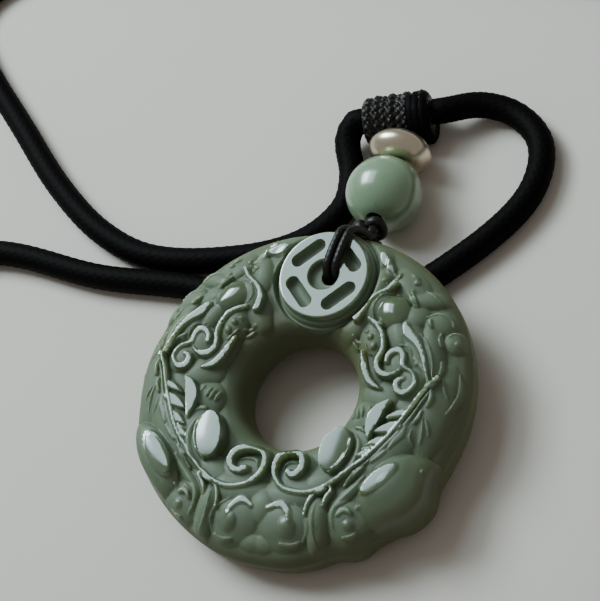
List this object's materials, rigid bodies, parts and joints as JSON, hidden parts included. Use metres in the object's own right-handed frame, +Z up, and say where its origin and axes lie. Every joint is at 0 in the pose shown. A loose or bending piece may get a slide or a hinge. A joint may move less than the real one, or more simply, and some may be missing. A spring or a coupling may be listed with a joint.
{
  "type": "carved pendant",
  "caption": "Carved stone ring pendant with mirrored beasts and a pierced coin, hung by a thin knotted loop from a bead, a metal spacer, a woven knot and a braided neck cord.",
  "frame": {"origin": "bottom centre of the ring, beads and knots without the neck cord, on the surface that they lie on", "axes": "+Y from the ring's middle towards the coin and the woven knot, +Z up from the surface through the carved front, +X to the right of the carving"},
  "size_m": [0.1419, 0.1284, 0.0163],
  "materials": {
    "carved_stone": "polished translucent stone",
    "bead_stone": "polished translucent stone",
    "spacer_metal": "polished warm silver",
    "cord_braid": "braided nylon, slight sheen"
  },
  "bodies": {
    "root": {"jade_ring": "carved_stone", "hanging_loop": "cord_braid", "lower_knot": "cord_braid", "jade_bead": "bead_stone", "metal_spacer": "spacer_metal", "bead_thread": "cord_braid", "woven_knot": "cord_braid", "neck_cord": "cord_braid"}
  },
  "joints": []
}
